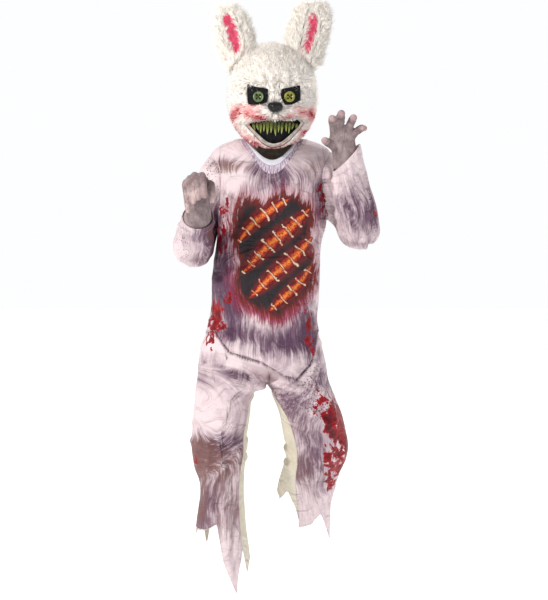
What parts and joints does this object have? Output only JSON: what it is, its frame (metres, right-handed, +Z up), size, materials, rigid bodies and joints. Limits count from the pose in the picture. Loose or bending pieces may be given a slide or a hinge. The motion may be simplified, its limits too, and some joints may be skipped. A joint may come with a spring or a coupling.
{
  "type": "child's zombie bunny costume: printed top and trousers, furry bunny mask and gloves, worn form with no wearer",
  "caption": "Child's printed zombie top and ragged trousers with a furry long-eared bunny mask and clawed gloves, hollow, in a crouching pose.",
  "frame": {"origin": "the middle of the neck opening at the shoulder line, where the wearer's neck and shoulders hold the costume up", "axes": "+Z up, -Y the front that the chest and mask face, +X the viewer's right"},
  "size_m": [0.53, 0.465, 1.48],
  "materials": {
    "printed_cloth": "satin",
    "plain_cloth": "matte",
    "rib_cloth": "matte",
    "fur": "matte",
    "pink_plush": "matte",
    "black_felt": "matte",
    "button_plastic": "gloss",
    "nose_plastic": "gloss",
    "lip_rubber": "matte",
    "teeth_rubber": "satin",
    "elastic": "matte",
    "glove_knit": "matte"
  },
  "bodies": {
    "root": {"top_front": "printed_cloth", "top_back": "plain_cloth", "neckband": "rib_cloth", "sleeve_left": "printed_cloth", "sleeve_right": "printed_cloth", "trouser_waistband": "printed_cloth", "trouser_front_left": "printed_cloth", "trouser_front_right": "printed_cloth", "trouser_back_left": "plain_cloth", "trouser_back_right": "plain_cloth", "mask_face": "fur", "mask_ear_left": "fur", "mask_ear_right": "fur", "ear_lining_left": "pink_plush", "ear_lining_right": "pink_plush", "eye_pad_left": "black_felt", "eye_pad_right": "black_felt", "eye_button_left": "button_plastic", "eye_button_right": "button_plastic", "nose": "nose_plastic", "lip_rim": "lip_rubber", "mouth_lining": "black_felt", "teeth": "teeth_rubber", "mask_strap": "elastic", "glove_left": "glove_knit", "glove_right": "glove_knit"}
  },
  "joints": []
}
